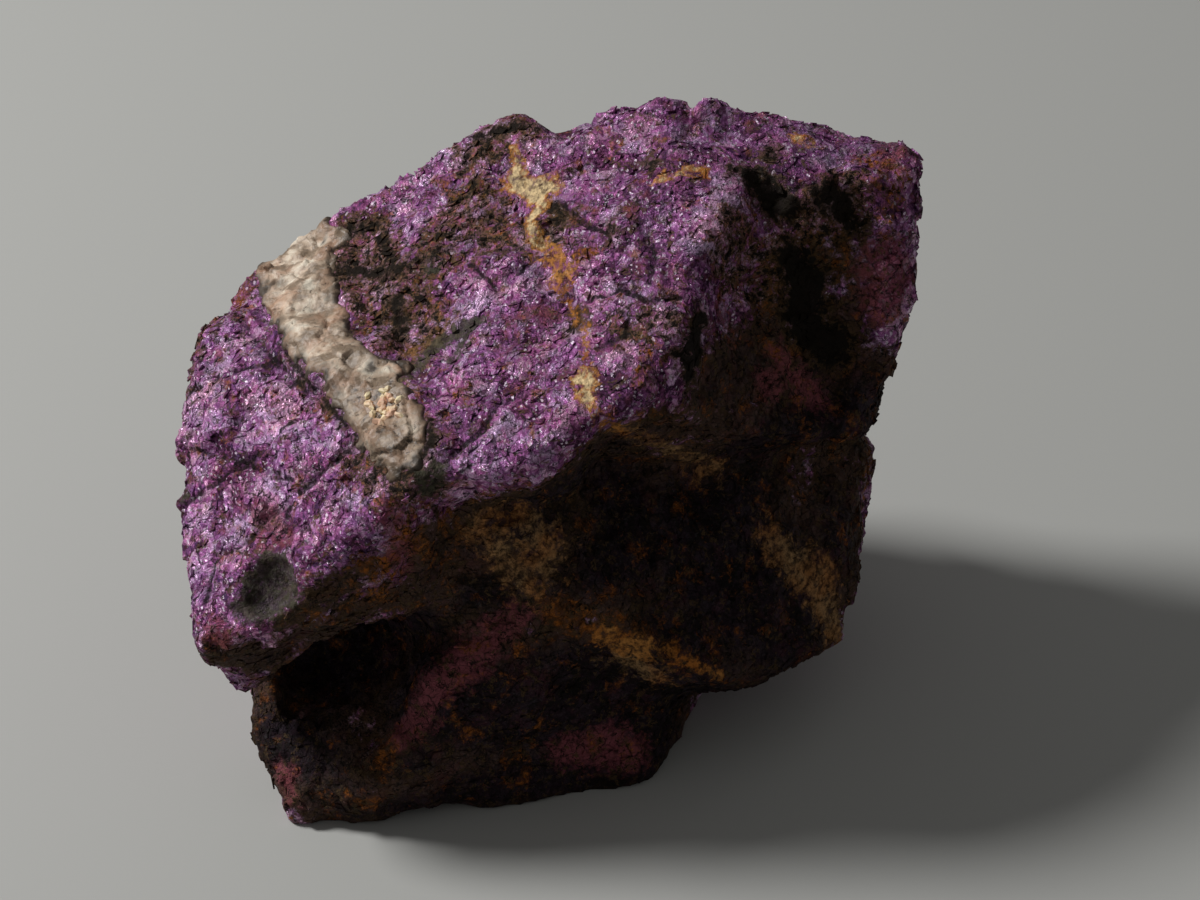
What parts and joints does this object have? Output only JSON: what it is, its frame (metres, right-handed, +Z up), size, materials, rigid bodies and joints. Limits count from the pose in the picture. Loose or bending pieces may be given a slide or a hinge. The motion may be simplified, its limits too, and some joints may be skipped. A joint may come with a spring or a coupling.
{
  "type": "rough purpurite specimen",
  "caption": "Rough broken piece of purple purpurite crossed by a pale quartz band and thin ochre veins, with dark stained lower faces and an undercut front.",
  "frame": {"origin": "centre of the bounding box's bottom, on the surface the stone rests on", "axes": "+X along the long side, towards the tall corner; -Y towards the broken, undercut front; +Z up"},
  "size_m": [0.0478, 0.0354, 0.0372],
  "materials": {
    "rock": "broken purple phosphate rock, satin glitter on the cleavage grains, with a pale quartz band and brown to black oxide stains"
  },
  "bodies": {
    "root": {"purpurite_stone": "rock"}
  },
  "joints": []
}
